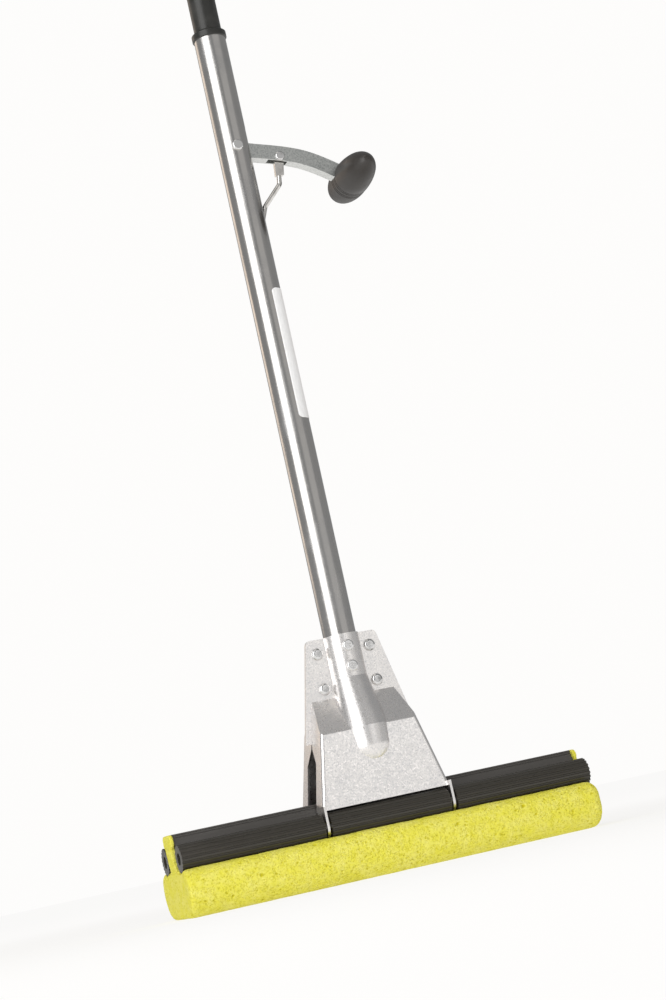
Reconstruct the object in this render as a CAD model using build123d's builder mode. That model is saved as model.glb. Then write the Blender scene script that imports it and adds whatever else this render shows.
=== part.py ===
from build123d import *

import os
from math import atan2, cos, radians, sin, tan

os.makedirs("parts", exist_ok=True)

# Roller sponge mop with a lever wringer.
# The mop stands upright: +Z runs up the handle, +X along the rollers on the lever's side,
# -Y towards the front. The origin is the middle of the sponge's underside. Sizes are in mm.

# ------------------------------------------------------------------ driving dimensions
# Sponge
SPONGE_LENGTH = 286.0
LOBE_WIDTH = 74.0
LOBE_TOP = 30.5
LOBE_LOWER_RADIUS = 14.5
LOBE_UPPER_RADIUS = 10.5
NECK_WIDTH = 15.0
BEAD_END_WIDTH = 22.0
BEAD_END_HEIGHT = 9.0
SOFT_GAP = 0.4

# Wringing rollers
ROLLER_RADIUS = 9.0
ROLLER_FLUTES = 20
FLUTE_RADIUS = 0.8
ROLLER_BITE = 2.1
ROLLER_CLEARANCE = 1.7
AXLE_RADIUS = 2.4
ROLLER_ROW_HALF = 141.7
MIDDLE_ROLLER_HALF = 41.4
OUTER_ROLLER_START = 45.9
HUB_RECESS_RADIUS = 3.9
HUB_RECESS_DEPTH = 4.0
RETAINER_RADIUS = 3.5
RETAINER_THICKNESS = 1.2

# Sponge carrier channel and its yoke
CARRIER_WIDTH = 19.0
CARRIER_TOP_WIDTH = 14.0
CARRIER_TOP = 53.5
CARRIER_DEPTH = 11.3
CARRIER_SHOULDER = 7.0
CARRIER_WALL = 1.5
CARRIER_HALF_LENGTH = 140.0
CARRIER_GROOVE = 0.45
CARRIER_GROOVE_PITCH = 1.3
YOKE_LENGTH = 40.0
YOKE_WIDTH = 14.0
YOKE_HEIGHT = 11.0
YOKE_BOSS_RADIUS = 7.0
YOKE_BOSS_HEIGHT = 17.0
YOKE_SCREW_SPACING = 28.0
YOKE_SCREW_RADIUS = 1.9
YOKE_SCREW_HEAD_RADIUS = 3.4
YOKE_PIN_RADIUS = 1.5

# Pressed steel bracket: two equal halves that meet on the plane Y = 0
SHEET = 1.2
BRACKET_CLEARANCE = 1.1
FACE_TOP = 95.7
SHOULDER_TOP = 120.3
WING_TOP = 159.0
WING_MARGIN = 2.0
WING_CORNER_RADIUS = 3.5
FLARE_ANGLE = 12.3
BEND_RADIUS = 2.6
RIM_WIDTH = 4.4
FACE_DEPTH_TOP = 20.2
FACE_DEPTH_BOTTOM = 24.8
RIM_END = 92.0
SIDE_SLOT_TOP = 78.5
SIDE_SLOT_CLEARANCE = 0.6
NOSE_RADIUS = 15.0
NOSE_HEIGHT = 84.0
NOSE_SETBACK = 11.0
RIDGE_RADIUS = 16.2
RIDGE_SETBACK = 9.4
TAB_THICKNESS = 1.6
TAB_RADIUS = 7.6
RIVET_CLEARANCE = 2.07
RIVET_HEIGHTS = (125.6, 149.2)
RIVET_RADIUS = 2.0
RIVET_HEAD_RADIUS = 4.1
RIVET_HEAD_HEIGHT = 2.3
SCREW_HEIGHTS = (136.9, 150.6)
SCREW_RADIUS = 2.0
SCREW_HEAD_RADIUS = 3.8
SCREW_HEAD_HEIGHT = 2.3
SCREW_LENGTH = 5.5

# Handle
TUBE_RADIUS = 11.1
TUBE_WALL = 0.8
TUBE_BOTTOM = 112.0
TUBE_TOP = 585.0
GUIDE_HEIGHT = 14.0
UPPER_RADIUS = 9.6
UPPER_WALL = 1.4
UPPER_TOP = 1190.0
UPPER_INSERT = 45.0
COLLAR_OVERHANG = 1.0
COLLAR_LIP = 4.2
COLLAR_CONE = 1.2
CAP_WALL = 1.3
CAP_SKIRT = 18.0
CAP_ROOF = 5.0
HANG_HOLE_RADIUS = 4.5
HANG_TAB_THICKNESS = 9.0
LABEL_BOTTOM = 307.5
LABEL_HEIGHT = 92.0
LABEL_THICKNESS = 0.25
LABEL_ANGLE = 96.0
LABEL_START = 10.0

# Lever, its grip and the wire link
PIVOT_HEIGHT = 503.0
PIVOT_RADIUS = 2.5
PIVOT_HEAD_RADIUS = 3.9
PIVOT_HEAD_HEIGHT = 1.7
LEVER_DEPTH = 10.4
LEVER_WIDTH = 9.0
LEVER_SHEET = 1.3
LINK_PIN_REACH = 30.5
LINK_PIN_DROP = 8.7
LINK_PIN_RADIUS = 1.75
LEVER_BEND_REACH = 47.0
LEVER_BEND_DROP = 11.4
GRIP_REACH = 80.0
GRIP_DROP = 29.5
GRIP_FRONT_LENGTH = 39.5
GRIP_REAR_LENGTH = 33.0
GRIP_RADIUS = 13.0
GRIP_GROOVES = (1.3, 3.2)
GRIP_GROOVE_SIZE = 0.6
GRIP_SCREW_RADIUS = 2.0
GRIP_SCREW_HEAD_RADIUS = 3.6
LINK_WIRE_RADIUS = 1.7
LINK_EYE_RADIUS = 3.5
LINK_TONGUE_LENGTH = 13.0
LINK_DROP = 57.3
LINK_RING_RADIUS = 5.5
LINK_RING_WIRE = 3.0

# Pull rod
ROD_RADIUS = 3.0
CLEVIS_GAP = 4.6
CLEVIS_CHEEK = 2.0
CLEVIS_WIDTH = 8.0
ROD_PIN_RADIUS = 1.25

# Fits
RUNNING_GAP = 0.06
FIXED_GAP = 0.03

# ------------------------------------------------------------------ derived sizes and places
FLARE = tan(radians(FLARE_ANGLE))
AXLE_HEIGHT = LOBE_TOP - ROLLER_BITE + ROLLER_RADIUS
AXLE_SPREAD = CARRIER_WIDTH / 2 + ROLLER_CLEARANCE + ROLLER_RADIUS
BRACKET_BOTTOM = AXLE_HEIGHT + ROLLER_RADIUS + BRACKET_CLEARANCE
CARRIER_BOTTOM = CARRIER_TOP - CARRIER_DEPTH
CARRIER_INNER_HALF = CARRIER_TOP_WIDTH / 2 - CARRIER_WALL * 0.7
BEAD_TOP = CARRIER_TOP - CARRIER_WALL - SOFT_GAP / 2
YOKE_TOP = CARRIER_TOP + YOKE_HEIGHT
BOSS_TOP = YOKE_TOP + YOKE_BOSS_HEIGHT
TUBE_BORE = TUBE_RADIUS - TUBE_WALL
TROUGH_RADIUS = TUBE_RADIUS + FIXED_GAP + SHEET
RIVET_OFFSET = TROUGH_RADIUS + RIVET_HEAD_RADIUS + RIVET_CLEARANCE
WING_HALF_WIDTH = RIVET_OFFSET + RIVET_HEAD_RADIUS + WING_MARGIN
COLLAR_RADIUS = TUBE_RADIUS + COLLAR_OVERHANG
LINK_PIN_HEIGHT = PIVOT_HEIGHT - LINK_PIN_DROP
ROD_PIN_HEIGHT = LINK_PIN_HEIGHT - LINK_DROP
GRIP_HEIGHT = PIVOT_HEIGHT - GRIP_DROP
UPPER_BOTTOM = TUBE_TOP - UPPER_INSERT
CAP_RADIUS = UPPER_RADIUS + FIXED_GAP + CAP_WALL
HANG_HOLE_HEIGHT = UPPER_TOP + CAP_ROOF + HANG_HOLE_RADIUS + 2.0
TAB_OUTER = MIDDLE_ROLLER_HALF + (OUTER_ROLLER_START - MIDDLE_ROLLER_HALF + TAB_THICKNESS) / 2
LEVER_SLOT_HALF = LEVER_WIDTH / 2 + 0.6
LINK_SLOT_START = LINK_PIN_REACH - 2.4 * LINK_EYE_RADIUS
LINK_SLOT_END = LINK_PIN_REACH + LINK_EYE_RADIUS + 1.5
LINK_SLOT_HALF = LINK_WIRE_RADIUS + 0.9


def outline_half_width(height):
    """Half width of the bracket's outline, rim included, at a height."""
    return WING_HALF_WIDTH + (WING_TOP - height) * FLARE


def finish(builder, label):
    """Name a finished sub-part and write it as its own STEP file."""
    builder.part.label = label
    export_step(builder.part, "parts/" + label + ".step")


# ------------------------------------------------------------------ sponge
def sponge_profile(start):
    """Cross-section of the sponge at an X position: lobe, neck between the rollers, top bead."""
    with BuildSketch(Plane.YZ.offset(start)) as profile:
        with Locations((0, LOBE_TOP / 2)):
            Rectangle(LOBE_WIDTH, LOBE_TOP)
        lower = profile.vertices().group_by(Axis.Y)[0]
        fillet(lower, LOBE_LOWER_RADIUS)
        upper = profile.vertices().group_by(Axis.Y)[-1]
        fillet(upper, LOBE_UPPER_RADIUS)
        neck_top = CARRIER_BOTTOM - SOFT_GAP / 2
        with Locations((0, (LOBE_TOP + neck_top) / 2 - 2)):
            Rectangle(NECK_WIDTH, neck_top - LOBE_TOP + 4)
        bead_height = BEAD_TOP - neck_top
        with Locations((0, neck_top + bead_height / 2 - 1)):
            Rectangle(2 * (CARRIER_INNER_HALF - SOFT_GAP / 4), bead_height + 2)
        with Locations((-AXLE_SPREAD, AXLE_HEIGHT), (AXLE_SPREAD, AXLE_HEIGHT)):
            Circle(ROLLER_RADIUS + SOFT_GAP, mode=Mode.SUBTRACT)
    return profile.sketch


with BuildPart() as sponge:
    extrude(sponge_profile(-SPONGE_LENGTH / 2), amount=SPONGE_LENGTH)
    for end in (-1, 1):
        bead_start = CARRIER_HALF_LENGTH + SOFT_GAP
        with BuildSketch(Plane.YZ.offset(end * bead_start)):
            with Locations((0, CARRIER_TOP - BEAD_END_HEIGHT / 2)):
                RectangleRounded(BEAD_END_WIDTH, BEAD_END_HEIGHT, BEAD_END_HEIGHT * 0.4)
            with Locations((0, (LOBE_TOP + CARRIER_TOP - BEAD_END_HEIGHT) / 2)):
                Rectangle(NECK_WIDTH, CARRIER_TOP - BEAD_END_HEIGHT - LOBE_TOP + 4)
            with Locations((-AXLE_SPREAD, AXLE_HEIGHT), (AXLE_SPREAD, AXLE_HEIGHT)):
                Circle(ROLLER_RADIUS + SOFT_GAP, mode=Mode.SUBTRACT)
        extrude(amount=end * (SPONGE_LENGTH / 2 - bead_start))
finish(sponge, "sponge")

# ------------------------------------------------------------------ carrier and yoke
with BuildPart() as sponge_carrier:
    with BuildSketch(Plane.YZ) as channel:
        carrier_shoulder_height = CARRIER_TOP - CARRIER_SHOULDER
        with BuildLine():
            Polyline(
                (-CARRIER_WIDTH / 2, CARRIER_BOTTOM),
                (-CARRIER_WIDTH / 2, carrier_shoulder_height),
                (-CARRIER_TOP_WIDTH / 2, CARRIER_TOP),
                (CARRIER_TOP_WIDTH / 2, CARRIER_TOP),
                (CARRIER_WIDTH / 2, carrier_shoulder_height),
                (CARRIER_WIDTH / 2, CARRIER_BOTTOM),
                close=True,
            )
        make_face()
        fillet(channel.vertices().group_by(Axis.Y)[1:], CARRIER_WALL * 0.5)
        with Locations((0, CARRIER_TOP - CARRIER_WALL - CARRIER_DEPTH / 2)):
            Rectangle(2 * CARRIER_INNER_HALF, CARRIER_DEPTH, mode=Mode.SUBTRACT)
        # fine ribs along the upper edge of both sloping sides
        slope = (CARRIER_WIDTH - CARRIER_TOP_WIDTH) / 2 / CARRIER_SHOULDER
        for row in range(1, 3):
            drop = CARRIER_GROOVE_PITCH * row
            side_y = CARRIER_TOP_WIDTH / 2 + slope * drop
            with Locations((-side_y, CARRIER_TOP - drop), (side_y, CARRIER_TOP - drop)):
                Circle(CARRIER_GROOVE, mode=Mode.SUBTRACT)
        # two shallow grooves along the top
        for row in (-1, 1):
            with Locations((row * CARRIER_TOP_WIDTH * 0.3, CARRIER_TOP)):
                Circle(CARRIER_GROOVE, mode=Mode.SUBTRACT)
    extrude(amount=CARRIER_HALF_LENGTH, both=True)
    with Locations(*[(x, 0, CARRIER_TOP) for x in (-YOKE_SCREW_SPACING / 2, YOKE_SCREW_SPACING / 2)]):
        Cylinder(YOKE_SCREW_RADIUS + FIXED_GAP, 4 * CARRIER_WALL, mode=Mode.SUBTRACT)
finish(sponge_carrier, "sponge_carrier")

with BuildPart() as carrier_yoke:
    with BuildSketch(Plane.XY.offset(CARRIER_TOP)):
        RectangleRounded(YOKE_LENGTH, YOKE_WIDTH, 3)
    extrude(amount=YOKE_HEIGHT)
    with BuildSketch(Plane.XY.offset(YOKE_TOP)):
        Circle(YOKE_BOSS_RADIUS)
    extrude(amount=YOKE_BOSS_HEIGHT)
    boss_rim = carrier_yoke.edges().filter_by(GeomType.CIRCLE).group_by(Axis.Z)[-1]
    fillet(boss_rim, 1.2)
    with BuildSketch(Plane.XY.offset(BOSS_TOP)):
        Circle(ROD_RADIUS + FIXED_GAP)
    extrude(amount=-(YOKE_BOSS_HEIGHT + YOKE_HEIGHT - 4), mode=Mode.SUBTRACT)
    with BuildSketch(Plane.XY.offset(YOKE_TOP)):
        with Locations((-YOKE_SCREW_SPACING / 2, 0), (YOKE_SCREW_SPACING / 2, 0)):
            Circle(YOKE_SCREW_RADIUS + FIXED_GAP)
    extrude(amount=-YOKE_HEIGHT, mode=Mode.SUBTRACT)
    with BuildSketch(Plane.XZ):
        with Locations((0, BOSS_TOP - YOKE_BOSS_HEIGHT / 3)):
            Circle(YOKE_PIN_RADIUS + FIXED_GAP)
    extrude(amount=2 * YOKE_BOSS_RADIUS, both=True, mode=Mode.SUBTRACT)
finish(carrier_yoke, "carrier_yoke")

with BuildPart() as yoke_screws:
    screw_foot = CARRIER_TOP - CARRIER_WALL
    with BuildSketch(Plane.XY.offset(screw_foot)):
        with Locations((-YOKE_SCREW_SPACING / 2, 0), (YOKE_SCREW_SPACING / 2, 0)):
            Circle(YOKE_SCREW_RADIUS)
    extrude(amount=YOKE_TOP - screw_foot)
    with BuildSketch(Plane.XY.offset(YOKE_TOP)):
        with Locations((-YOKE_SCREW_SPACING / 2, 0), (YOKE_SCREW_SPACING / 2, 0)):
            Circle(YOKE_SCREW_HEAD_RADIUS)
    extrude(amount=2.2)
    fillet(yoke_screws.edges().filter_by(GeomType.CIRCLE).group_by(Axis.Z)[-1], 1.0)
finish(yoke_screws, "yoke_screws")

with BuildPart() as yoke_pin:
    with BuildSketch(Plane.XZ):
        with Locations((0, BOSS_TOP - YOKE_BOSS_HEIGHT / 3)):
            Circle(YOKE_PIN_RADIUS)
    extrude(amount=YOKE_BOSS_RADIUS - 0.6, both=True)
finish(yoke_pin, "yoke_pin")

# ------------------------------------------------------------------ pull rod
with BuildPart() as pull_rod:
    rod_foot = CARRIER_TOP + 4.2
    clevis_floor = ROD_PIN_HEIGHT - LINK_RING_RADIUS - LINK_RING_WIRE / 2 - 3.5
    clevis_top = ROD_PIN_HEIGHT + 5.0
    clevis_depth = CLEVIS_GAP + 2 * CLEVIS_CHEEK
    with BuildSketch(Plane.XY.offset(rod_foot)):
        Circle(ROD_RADIUS)
    extrude(amount=clevis_floor - 3 - rod_foot)
    with BuildSketch(Plane.XY.offset(clevis_floor - 4)):
        RectangleRounded(CLEVIS_WIDTH, clevis_depth, 1.5)
    extrude(amount=clevis_top - clevis_floor + 4)
    with BuildSketch(Plane.XY.offset(clevis_floor)):
        Rectangle(CLEVIS_WIDTH + 2, CLEVIS_GAP)
    extrude(amount=clevis_top - clevis_floor, mode=Mode.SUBTRACT)
    with BuildSketch(Plane.XZ):
        with Locations((0, ROD_PIN_HEIGHT)):
            Circle(ROD_PIN_RADIUS + FIXED_GAP)
        with Locations((0, BOSS_TOP - YOKE_BOSS_HEIGHT / 3)):
            Circle(YOKE_PIN_RADIUS + FIXED_GAP)
    extrude(amount=clevis_depth, both=True, mode=Mode.SUBTRACT)
finish(pull_rod, "pull_rod")

with BuildPart() as rod_pin:
    with BuildSketch(Plane.XZ):
        with Locations((0, ROD_PIN_HEIGHT)):
            Circle(ROD_PIN_RADIUS)
    extrude(amount=CLEVIS_GAP / 2 + CLEVIS_CHEEK, both=True)
finish(rod_pin, "rod_pin")

with BuildPart() as rod_guide:
    with BuildSketch(Plane.XY.offset(TUBE_BOTTOM)):
        Circle(TUBE_BORE - FIXED_GAP)
        Circle(ROD_RADIUS + RUNNING_GAP, mode=Mode.SUBTRACT)
    extrude(amount=GUIDE_HEIGHT)
finish(rod_guide, "rod_guide")


# ------------------------------------------------------------------ rollers and axles
def build_roller(name, start, end, y):
    """A fluted roller on its axle, from one X position to another; open hubs at the row's ends."""
    with BuildPart() as roller:
        with BuildSketch(Plane.YZ.offset(start)):
            with Locations((y, AXLE_HEIGHT)):
                Circle(ROLLER_RADIUS)
                with PolarLocations(ROLLER_RADIUS, ROLLER_FLUTES):
                    Circle(FLUTE_RADIUS, mode=Mode.SUBTRACT)
                Circle(AXLE_RADIUS + RUNNING_GAP, mode=Mode.SUBTRACT)
        extrude(amount=end - start)
        for face_x, inward in ((start, 1), (end, -1)):
            if abs(face_x) > ROLLER_ROW_HALF - 1:
                with BuildSketch(Plane.YZ.offset(face_x)):
                    with Locations((y, AXLE_HEIGHT)):
                        Circle(HUB_RECESS_RADIUS)
                extrude(amount=inward * HUB_RECESS_DEPTH, mode=Mode.SUBTRACT)
    finish(roller, name)


for row_name, row_y in (("front", -AXLE_SPREAD), ("rear", AXLE_SPREAD)):
    build_roller(row_name + "_roller_left", -ROLLER_ROW_HALF, -OUTER_ROLLER_START, row_y)
    build_roller(row_name + "_roller_middle", -MIDDLE_ROLLER_HALF, MIDDLE_ROLLER_HALF, row_y)
    build_roller(row_name + "_roller_right", OUTER_ROLLER_START, ROLLER_ROW_HALF, row_y)

AXLE_HALF_LENGTH = ROLLER_ROW_HALF - 1.2
RETAINER_INNER = ROLLER_ROW_HALF - HUB_RECESS_DEPTH + 0.3


def build_axle(name, y):
    """One steel axle wire that carries a row of three rollers."""
    with BuildPart() as axle:
        with BuildSketch(Plane.YZ):
            with Locations((y, AXLE_HEIGHT)):
                Circle(AXLE_RADIUS)
        extrude(amount=AXLE_HALF_LENGTH, both=True)
        chamfer(axle.edges().filter_by(GeomType.CIRCLE), 0.4)
    finish(axle, name)


build_axle("front_axle", -AXLE_SPREAD)
build_axle("rear_axle", AXLE_SPREAD)

with BuildPart() as axle_retainers:
    for side in (-1, 1):
        with BuildSketch(Plane.YZ.offset(side * RETAINER_INNER)):
            with Locations((-AXLE_SPREAD, AXLE_HEIGHT), (AXLE_SPREAD, AXLE_HEIGHT)):
                Circle(RETAINER_RADIUS)
                Circle(AXLE_RADIUS + FIXED_GAP, mode=Mode.SUBTRACT)
        extrude(amount=side * RETAINER_THICKNESS)
finish(axle_retainers, "axle_retainers")


# ------------------------------------------------------------------ pressed bracket
def press_form(inset):
    """Solid shape of the front pressing, shrunk all over by an inset; open towards +Y and down."""
    below = BRACKET_BOTTOM - 30
    face_lean = (FACE_DEPTH_BOTTOM - FACE_DEPTH_TOP) / (FACE_TOP - BRACKET_BOTTOM)
    shoulder_slope = (SHOULDER_TOP - FACE_TOP) / FACE_DEPTH_TOP
    back = 20.0
    with BuildPart() as form:
        with BuildSketch(Plane.YZ):
            with BuildLine():
                Polyline(
                    (back, below),
                    (-FACE_DEPTH_BOTTOM - 30 * face_lean, below),
                    (-FACE_DEPTH_TOP, FACE_TOP),
                    (back, SHOULDER_TOP + back * shoulder_slope),
                    close=True,
                )
            make_face()
            if inset:
                offset(amount=-inset, kind=Kind.INTERSECTION, mode=Mode.REPLACE)
        extrude(amount=80, both=True)
        with BuildSketch(Plane.XZ.offset(-back)):
            low_half = outline_half_width(below) - RIM_WIDTH
            high_half = outline_half_width(WING_TOP) - RIM_WIDTH
            with BuildLine():
                Polyline(
                    (-low_half, below),
                    (low_half, below),
                    (high_half, WING_TOP),
                    (-high_half, WING_TOP),
                    close=True,
                )
            make_face()
            if inset:
                offset(amount=-inset, kind=Kind.INTERSECTION, mode=Mode.REPLACE)
        extrude(amount=back + 60, mode=Mode.INTERSECT)
        face_corners = form.faces().sort_by(Axis.Y)[0].edges()
        bend_edges = face_corners.sort_by(Axis.Z)[1:]
        fillet(bend_edges, BEND_RADIUS - inset)
        # the ridge runs from round the tube, down and forward over the bend, into a rounded nose
        ridge_sections = (
            (SHOULDER_TOP + 10, 0, TROUGH_RADIUS),
            (FACE_TOP + 0.5, RIDGE_SETBACK, RIDGE_RADIUS),
            (NOSE_HEIGHT, NOSE_SETBACK, NOSE_RADIUS),
        )
        for upper, lower in zip(ridge_sections, ridge_sections[1:]):
            for height, setback, radius in (upper, lower):
                with BuildSketch(Plane.XY.offset(height)):
                    with Locations((0, -setback)):
                        Circle(radius - inset)
            loft()
        with Locations((0, -NOSE_SETBACK, NOSE_HEIGHT)):
            Sphere(NOSE_RADIUS - inset)
        with BuildSketch(Plane.XY.offset(SHOULDER_TOP + 10)):
            Circle(TROUGH_RADIUS - inset)
        extrude(amount=WING_TOP - SHOULDER_TOP - 10 + (5 if inset else 0))
    return form.part


def tab_place(side):
    """Plane of an axle tab's inner face."""
    return Plane.YZ.offset(side * (TAB_OUTER - TAB_THICKNESS))


with BuildPart() as front_bracket:
    add(press_form(0))
    # wings and rim lie flat on the plane where the halves meet
    with BuildSketch(Plane.XZ) as wings:
        with BuildLine():
            Polyline(
                (-outline_half_width(RIM_END), RIM_END),
                (outline_half_width(RIM_END), RIM_END),
                (WING_HALF_WIDTH, WING_TOP),
                (-WING_HALF_WIDTH, WING_TOP),
                close=True,
            )
        make_face()
        fillet(wings.vertices().group_by(Axis.Y)[-1], WING_CORNER_RADIUS)
    extrude(amount=SHEET)
    add(press_form(SHEET), mode=Mode.SUBTRACT)
    # keep only the front half, above the lower edge
    with BuildSketch(Plane.XY.offset(BRACKET_BOTTOM - 60)):
        with Locations((0, 50)):
            Rectangle(300, 100)
    extrude(amount=200, mode=Mode.SUBTRACT)
    with BuildSketch(Plane.XY.offset(BRACKET_BOTTOM - 60)):
        Rectangle(300, 200)
    extrude(amount=60, mode=Mode.SUBTRACT)
    # side slots that the carrier rises into
    slot_half = CARRIER_WIDTH / 2 + SIDE_SLOT_CLEARANCE
    with BuildSketch(Plane.YZ):
        with BuildLine():
            Polyline(
                (1, BRACKET_BOTTOM - 1),
                (-slot_half, BRACKET_BOTTOM - 1),
                (-slot_half, SIDE_SLOT_TOP),
                (-1.2, SIDE_SLOT_TOP + slot_half),
                (-0.5, RIM_END),
                (1, RIM_END),
                close=True,
            )
        make_face()
    extrude(amount=80, both=True, mode=Mode.SUBTRACT)
    # axle tabs below the side walls
    for side in (-1, 1):
        with BuildSketch(tab_place(side)):
            with Locations((-AXLE_SPREAD, AXLE_HEIGHT)):
                Circle(TAB_RADIUS)
            tab_top = BRACKET_BOTTOM + 3
            with Locations((-AXLE_SPREAD, (AXLE_HEIGHT + tab_top) / 2)):
                Rectangle(2 * TAB_RADIUS, tab_top - AXLE_HEIGHT)
            with Locations((-AXLE_SPREAD, AXLE_HEIGHT)):
                Circle(AXLE_RADIUS + FIXED_GAP, mode=Mode.SUBTRACT)
        extrude(amount=side * TAB_THICKNESS)
    # rivet and screw holes
    with BuildSketch(Plane.XZ):
        for height in RIVET_HEIGHTS:
            with Locations((-RIVET_OFFSET, height), (RIVET_OFFSET, height)):
                Circle(RIVET_RADIUS + FIXED_GAP)
        for height in SCREW_HEIGHTS:
            with Locations((0, height)):
                Circle(SCREW_RADIUS + FIXED_GAP)
    extrude(amount=30, mode=Mode.SUBTRACT)
finish(front_bracket, "front_bracket")

with BuildPart() as rear_bracket:
    mirror(front_bracket.part, about=Plane.XZ)
finish(rear_bracket, "rear_bracket")

with BuildPart() as bracket_rivets:
    for x in (-RIVET_OFFSET, RIVET_OFFSET):
        for height in RIVET_HEIGHTS:
            with BuildSketch(Plane.XZ):
                with Locations((x, height)):
                    Circle(RIVET_RADIUS)
            extrude(amount=SHEET, both=True)
            for side in (-1, 1):
                head_face = Plane((x, side * SHEET, height), x_dir=(1, 0, 0), z_dir=(0, side, 0))
                with BuildSketch(head_face):
                    Circle(RIVET_HEAD_RADIUS)
                extrude(amount=RIVET_HEAD_HEIGHT)
    for group in (0, -1):
        crown_edges = bracket_rivets.edges().filter_by(GeomType.CIRCLE).group_by(Axis.Y)[group]
        fillet(crown_edges, RIVET_HEAD_HEIGHT * 0.9)
finish(bracket_rivets, "bracket_rivets")

with BuildPart() as tube_screws:
    seat = TROUGH_RADIUS + 0.05
    for side in (-1, 1):
        for height in SCREW_HEIGHTS:
            head_face = Plane((0, side * seat, height), x_dir=(1, 0, 0), z_dir=(0, side, 0))
            with BuildSketch(head_face):
                Circle(SCREW_HEAD_RADIUS)
            extrude(amount=SCREW_HEAD_HEIGHT)
            with BuildSketch(head_face):
                Circle(SCREW_RADIUS)
            extrude(amount=-SCREW_LENGTH)
    for group in (0, -1):
        crown_edges = tube_screws.edges().filter_by(GeomType.CIRCLE).group_by(Axis.Y)[group]
        fillet(crown_edges, 1.3)
    for side in (-1, 1):
        for height in SCREW_HEIGHTS:
            crown_y = side * (seat + SCREW_HEAD_HEIGHT)
            with BuildSketch(Plane((0, crown_y, height), x_dir=(1, 0, 0), z_dir=(0, side, 0))):
                Rectangle(0.9, 3.6, rotation=30)
                Rectangle(3.6, 0.9, rotation=30)
            extrude(amount=-1.3, mode=Mode.SUBTRACT)
finish(tube_screws, "tube_screws")

# ------------------------------------------------------------------ handle
with BuildPart() as steel_tube:
    with BuildSketch(Plane.XY.offset(TUBE_BOTTOM)):
        Circle(TUBE_RADIUS)
        Circle(TUBE_BORE, mode=Mode.SUBTRACT)
    extrude(amount=TUBE_TOP - TUBE_BOTTOM)
    # one long opening on the lever's side: wide for the lever, narrow for the link below it
    lever_slot_low = PIVOT_HEIGHT - 11.0
    lever_slot_high = PIVOT_HEIGHT + 15.0
    link_slot_low = ROD_PIN_HEIGHT + 2.0
    with BuildSketch(Plane.YZ):
        with Locations((0, (lever_slot_low + lever_slot_high) / 2)):
            RectangleRounded(2 * LEVER_SLOT_HALF, lever_slot_high - lever_slot_low, 3)
        with Locations((0, (link_slot_low + lever_slot_low + 2) / 2)):
            RectangleRounded(2 * LINK_SLOT_HALF, lever_slot_low + 2 - link_slot_low, LINK_SLOT_HALF * 0.9)
    extrude(amount=TUBE_RADIUS + 2, mode=Mode.SUBTRACT)
    with BuildSketch(Plane.XZ):
        with Locations((0, PIVOT_HEIGHT)):
            Circle(PIVOT_RADIUS + FIXED_GAP)
        with Locations(*[(0, height) for height in SCREW_HEIGHTS]):
            Circle(SCREW_RADIUS + FIXED_GAP)
    extrude(amount=TUBE_RADIUS + 2, both=True, mode=Mode.SUBTRACT)
finish(steel_tube, "steel_tube")

with BuildPart() as upper_handle:
    with BuildSketch(Plane.XY.offset(UPPER_BOTTOM)):
        Circle(UPPER_RADIUS)
        Circle(UPPER_RADIUS - UPPER_WALL, mode=Mode.SUBTRACT)
    extrude(amount=UPPER_TOP - UPPER_BOTTOM)
finish(upper_handle, "upper_handle")

with BuildPart() as tube_collar:
    sleeve_outer = TUBE_BORE - FIXED_GAP
    with BuildSketch(Plane.XZ):
        with BuildLine():
            Polyline(
                (UPPER_RADIUS + FIXED_GAP, UPPER_BOTTOM),
                (sleeve_outer, UPPER_BOTTOM),
                (sleeve_outer, TUBE_TOP),
                (COLLAR_RADIUS, TUBE_TOP),
                (COLLAR_RADIUS, TUBE_TOP + COLLAR_LIP),
                (UPPER_RADIUS + 1.0, TUBE_TOP + COLLAR_LIP + COLLAR_CONE),
                (UPPER_RADIUS + FIXED_GAP, TUBE_TOP + COLLAR_LIP + COLLAR_CONE),
                close=True,
            )
        make_face()
    revolve(axis=Axis.Z)
    lip_edges = tube_collar.edges().filter_by(lambda edge: abs(edge.radius - COLLAR_RADIUS) < 0.01
                                              if edge.geom_type == GeomType.CIRCLE else False)
    fillet(lip_edges, 0.45)
finish(tube_collar, "tube_collar")

with BuildPart() as end_cap:
    with BuildSketch(Plane.XY.offset(UPPER_TOP - CAP_SKIRT)):
        Circle(CAP_RADIUS)
    extrude(amount=CAP_SKIRT + CAP_ROOF)
    fillet(end_cap.edges().filter_by(GeomType.CIRCLE).group_by(Axis.Z)[-1], CAP_ROOF * 0.5)
    with BuildSketch(Plane.XZ):
        with Locations((0, HANG_HOLE_HEIGHT)):
            Circle(HANG_HOLE_RADIUS + 4.5)
        with Locations((0, (HANG_HOLE_HEIGHT + UPPER_TOP + CAP_ROOF / 2) / 2)):
            Rectangle(2 * (HANG_HOLE_RADIUS + 4.5), HANG_HOLE_HEIGHT - UPPER_TOP - CAP_ROOF / 2)
    extrude(amount=HANG_TAB_THICKNESS / 2, both=True)
    with BuildSketch(Plane.XY.offset(UPPER_TOP - CAP_SKIRT)):
        Circle(UPPER_RADIUS + FIXED_GAP)
    extrude(amount=CAP_SKIRT, mode=Mode.SUBTRACT)
    with BuildSketch(Plane.XZ):
        with Locations((0, HANG_HOLE_HEIGHT)):
            Circle(HANG_HOLE_RADIUS)
    extrude(amount=HANG_TAB_THICKNESS, both=True, mode=Mode.SUBTRACT)
finish(end_cap, "end_cap")

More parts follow.
